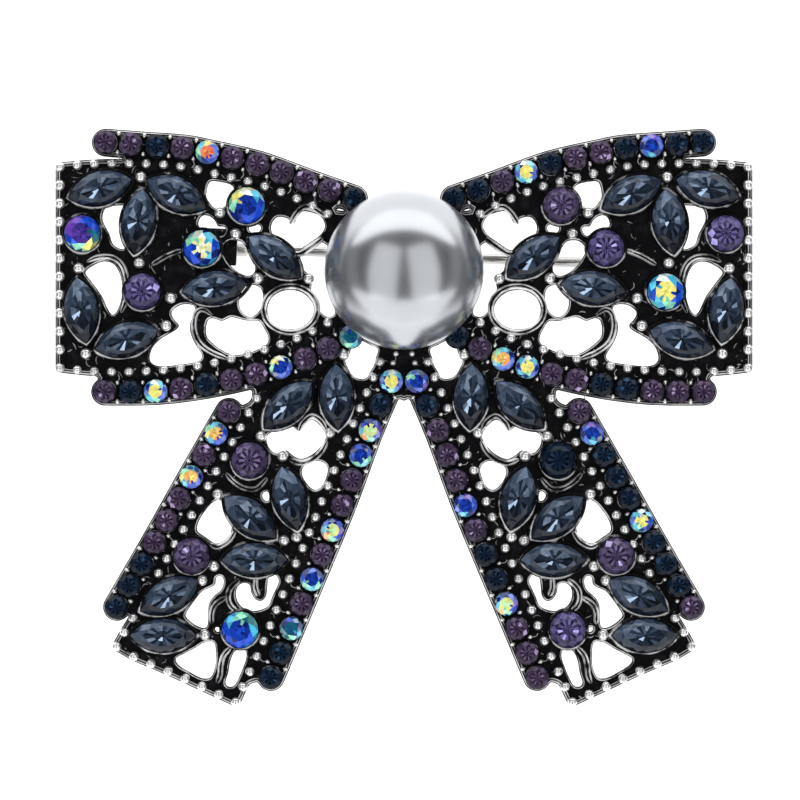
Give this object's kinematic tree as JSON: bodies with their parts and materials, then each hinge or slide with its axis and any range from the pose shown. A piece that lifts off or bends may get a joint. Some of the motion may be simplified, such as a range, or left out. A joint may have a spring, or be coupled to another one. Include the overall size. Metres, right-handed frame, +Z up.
{
  "type": "bow brooch",
  "caption": "Openwork cast bow brooch with a grey pearl at its knot, marquise and round stones in loops and tails, beaded edges and a hinged pin stem behind.",
  "frame": {"origin": "centre of the bottom of the bounding box, with the brooch lying on its back", "axes": "+X to the right of the front, +Y towards the top of the bow, +Z up and out of the front"},
  "size_m": [0.0596, 0.0494, 0.0146],
  "materials": {
    "silver": "antique silver plating on cast zinc alloy, bright on its beads and rims and blackened in its recesses",
    "pearl": "grey imitation pearl with a soft metallic lustre",
    "stones_slate": "faceted slate-blue glass, foil backed",
    "stones_violet": "faceted violet glass, foil backed",
    "stones_navy": "faceted navy glass, foil backed",
    "stones_blue_violet": "faceted blue-violet glass, foil backed",
    "stones_iridescent": "faceted glass with an iridescent coating of blue, mint, yellow and orange",
    "pin_metal": "bright nickel-plated steel wire"
  },
  "bodies": {
    "brooch": {"bow_frame": "silver", "pearl": "pearl", "small_stones_violet": "stones_violet", "small_stones_navy": "stones_navy", "small_stones_iridescent": "stones_iridescent", "round_left_1": "stones_iridescent", "round_left_2": "stones_iridescent", "round_left_3": "stones_iridescent", "round_left_4": "stones_blue_violet", "round_left_5": "stones_violet", "round_left_6": "stones_violet", "round_left_7": "stones_iridescent", "round_right_1": "stones_violet", "round_right_2": "stones_violet", "round_right_3": "stones_violet", "round_right_4": "stones_iridescent", "round_right_5": "stones_navy", "round_right_6": "stones_violet", "round_right_7": "stones_blue_violet", "marquise_left_1": "stones_slate", "marquise_left_2": "stones_slate", "marquise_left_3": "stones_slate", "marquise_left_4": "stones_slate", "marquise_left_5": "stones_slate", "marquise_left_6": "stones_slate", "marquise_left_7": "stones_slate", "marquise_left_8": "stones_slate", "marquise_left_9": "stones_slate", "marquise_left_10": "stones_slate", "marquise_left_11": "stones_slate", "marquise_left_12": "stones_slate", "marquise_left_13": "stones_slate", "marquise_left_14": "stones_slate", "marquise_right_1": "stones_slate", "marquise_right_2": "stones_slate", "marquise_right_3": "stones_slate", "marquise_right_4": "stones_slate", "marquise_right_5": "stones_slate", "marquise_right_6": "stones_slate", "marquise_right_7": "stones_slate", "marquise_right_8": "stones_slate", "marquise_right_9": "stones_slate", "marquise_right_10": "stones_slate", "marquise_right_11": "stones_slate", "marquise_right_12": "stones_slate", "marquise_right_13": "stones_slate", "marquise_right_14": "stones_slate", "hinge_rivet": "pin_metal"},
    "stem": {"pin_stem": "pin_metal"}
  },
  "joints": [
    {"name": "pin_hinge", "type": "hinge", "parent": "brooch", "child": "stem", "pos_m": [-0.01641, 0.01476, 0.00122], "axis": [0.0417, 0.996, 0.079], "range_deg": [0, 75]}
  ]
}
